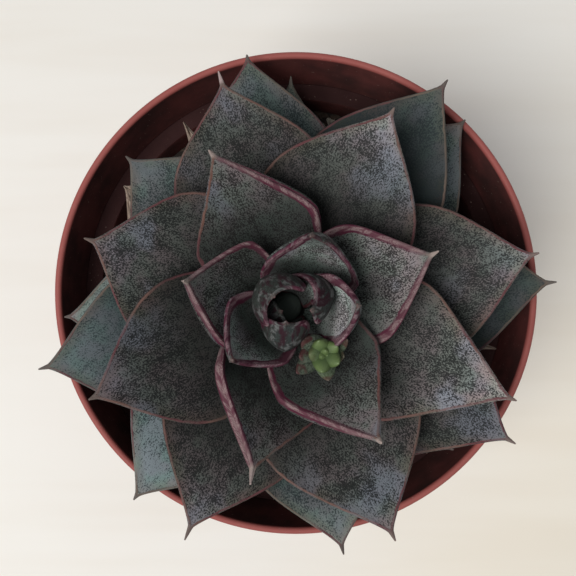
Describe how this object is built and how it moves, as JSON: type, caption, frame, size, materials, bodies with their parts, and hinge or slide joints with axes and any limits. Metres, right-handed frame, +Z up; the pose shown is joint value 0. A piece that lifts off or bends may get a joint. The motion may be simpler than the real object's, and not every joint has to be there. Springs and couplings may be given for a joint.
{
  "type": "potted echeveria",
  "caption": "Small rosette succulent with thick pointed leaves on a short stem, in soil, in a round tapered plastic nursery pot with a deep collar.",
  "frame": {"origin": "centre of the pot's underside, on the surface that it stands on", "axes": "+Z up along the pot's axis; +X is the right side and +Y the top side of the plant as seen from above in the reference view"},
  "size_m": [0.0856, 0.0853, 0.1051],
  "materials": {
    "pot_plastic": "satin moulded terracotta-brown plastic",
    "soil_peat": "dark crumbly potting soil",
    "stem_bark": "dull green-brown",
    "leaf_skin": "matt waxy grey-green, darkly mottled, with a thin red-brown edge",
    "heart_leaf_skin": "waxy grey-green with a broad crimson edge",
    "dry_leaf_skin": "dull papery beige",
    "bud_skin": "fresh waxy green"
  },
  "bodies": {
    "root": {"dry_leaf_1": "dry_leaf_skin", "dry_leaf_2": "dry_leaf_skin", "dry_leaf_3": "dry_leaf_skin", "dry_leaf_4": "dry_leaf_skin", "flower_bud": "bud_skin", "leaf_01": "leaf_skin", "leaf_02": "leaf_skin", "leaf_03": "leaf_skin", "leaf_04": "leaf_skin", "leaf_05": "leaf_skin", "leaf_06": "leaf_skin", "leaf_07": "leaf_skin", "leaf_08": "leaf_skin", "leaf_09": "leaf_skin", "leaf_10": "leaf_skin", "leaf_11": "leaf_skin", "leaf_12": "leaf_skin", "leaf_13": "leaf_skin", "leaf_14": "leaf_skin", "leaf_15": "leaf_skin", "leaf_16": "leaf_skin", "leaf_17": "leaf_skin", "leaf_18": "leaf_skin", "leaf_19": "leaf_skin", "leaf_20": "leaf_skin", "leaf_21": "leaf_skin", "leaf_22": "leaf_skin", "leaf_23": "leaf_skin", "leaf_24": "leaf_skin", "leaf_25": "leaf_skin", "leaf_26": "leaf_skin", "leaf_27": "heart_leaf_skin", "leaf_28": "heart_leaf_skin", "leaf_29": "heart_leaf_skin", "leaf_30": "heart_leaf_skin", "leaf_31": "heart_leaf_skin", "leaf_32": "heart_leaf_skin", "leaf_33": "heart_leaf_skin", "pot": "pot_plastic", "soil": "soil_peat", "stem": "stem_bark"}
  },
  "joints": []
}
